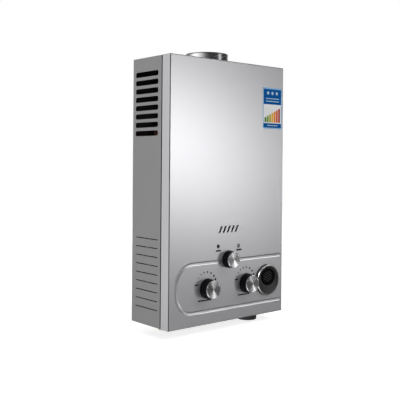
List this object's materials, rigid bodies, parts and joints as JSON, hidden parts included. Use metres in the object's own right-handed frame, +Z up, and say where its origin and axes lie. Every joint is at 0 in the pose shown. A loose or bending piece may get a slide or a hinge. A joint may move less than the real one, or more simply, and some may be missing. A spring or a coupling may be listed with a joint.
{
  "type": "tankless gas water heater",
  "caption": "Wall-hung tankless gas water heater: stainless front with control knobs and a round display, vented grey sides, a flue collar on top and pipe connections below.",
  "frame": {"origin": "on the wall plane, at the middle of the four wall screws, half way up the casing", "axes": "+Z up, +Y into the wall, the front faces -Y, +X to the right seen from the front"},
  "size_m": [0.35, 0.1575, 0.6328],
  "materials": {
    "stainless_cover": "satin stainless sheet, fine vertical brushing",
    "grey_panel": "grey powder coat",
    "flue_steel": "bright steel sheet",
    "knob_plastic": "black moulded plastic",
    "spun_aluminium": "spun face with fine circular lines",
    "bezel_chrome": "plated ring",
    "display_window": "dark window",
    "cap_plastic": "dark moulded plastic",
    "copper": "plain copper",
    "brass": "machined brass",
    "cast_aluminium": "die-cast",
    "zinc_steel": "zinc plated sheet",
    "burner_steel": "heat-tinted stainless sheet",
    "screw_steel": "plated",
    "rubber": "moulded",
    "inner_plastic": "moulded",
    "cell_jacket": "plain sleeve",
    "ceramic": "glazed",
    "circuit_board": "lacquered",
    "sensor_steel": "plated"
  },
  "bodies": {
    "casing": {"battery_cells": "cell_jacket", "battery_holder": "inner_plastic", "bottom_plate": "grey_panel", "burner_bars": "burner_steel", "burner_rack": "zinc_steel", "cold_coil": "copper", "cold_inlet": "brass", "cover_screws": "screw_steel", "diaphragm": "rubber", "diaphragm_cover": "brass", "display_bezel": "bezel_chrome", "display_board": "circuit_board", "display_housing": "inner_plastic", "display_lens": "display_window", "electrode_leads": "rubber", "electrodes": "ceramic", "exchanger_fins": "copper", "exchanger_jacket": "copper", "exchanger_tube": "copper", "flue_collar": "flue_steel", "flue_hood": "zinc_steel", "front_cover": "stainless_cover", "gas_bonnet": "cast_aluminium", "gas_inlet": "brass", "gas_manifold": "zinc_steel", "gas_solenoid": "sensor_steel", "gas_valve_body": "cast_aluminium", "hot_outlet": "brass", "hot_pipe": "copper", "igniter_module": "inner_plastic", "injectors": "brass", "jacket_hangers": "zinc_steel", "link_pipe": "zinc_steel", "lock_nuts": "brass", "micro_switch": "inner_plastic", "outlet_sensor": "brass", "overheat_sensor": "sensor_steel", "pipe_nuts": "brass", "rear_shell": "grey_panel", "season_valve_body": "cast_aluminium", "spindle_glands": "zinc_steel", "switch_stand": "zinc_steel", "top_plate": "grey_panel", "valve_bracket": "zinc_steel", "water_valve_body": "brass"},
    "flame_control": {"flame_knob": "knob_plastic", "flame_knob_face": "spun_aluminium", "flame_spindle": "brass"},
    "water_control": {"water_knob": "knob_plastic", "water_knob_face": "spun_aluminium", "water_spindle": "brass"},
    "season_control": {"season_knob": "knob_plastic", "season_knob_face": "spun_aluminium", "season_spindle": "brass"},
    "battery_lid": {"battery_cap": "cap_plastic"},
    "drain_screw": {"drain_plug": "cap_plastic"},
    "flow_rod": {"push_rod": "brass", "gas_disc": "rubber"},
    "switch_arm": {"switch_lever": "zinc_steel"}
  },
  "joints": [
    {"name": "flame_knob_turn", "type": "hinge", "parent": "casing", "child": "flame_control", "pos_m": [-0.066, -0.135, -0.215], "axis": [0, 1, 0], "range_deg": [-130, 50]},
    {"name": "water_knob_turn", "type": "hinge", "parent": "casing", "child": "water_control", "pos_m": [0.054, -0.135, -0.215], "axis": [0, 1, 0], "range_deg": [-130, 50]},
    {"name": "season_knob_turn", "type": "hinge", "parent": "casing", "child": "season_control", "pos_m": [-0.00275, -0.135, -0.155], "axis": [0, 1, 0], "range_deg": [0, 92]},
    {"name": "battery_cap_twist", "type": "hinge", "parent": "casing", "child": "battery_lid", "pos_m": [0.11, -0.0805, -0.295], "axis": [0, 0, 1], "range_deg": [0, 45]},
    {"name": "drain_screw_turn", "type": "hinge", "parent": "casing", "child": "drain_screw", "pos_m": [0.054, -0.08, -0.295], "axis": [0, 0, 1], "range_deg": [0, 180]},
    {"name": "flow_rod_slide", "type": "slide", "parent": "casing", "child": "flow_rod", "axis": [-1, 0, 0], "range_m": [0, 0.005], "stiffness_N_per_m": 300},
    {"name": "switch_lever_turn", "type": "hinge", "parent": "casing", "child": "switch_arm", "pos_m": [-0.0056, -0.07, -0.2005], "axis": [0, 1, 0], "range_deg": [0, 30]}
  ],
  "couplings": [
    {"joint": "switch_lever_turn", "follows": "flow_rod_slide", "rad_per_m": 97.738}
  ]
}
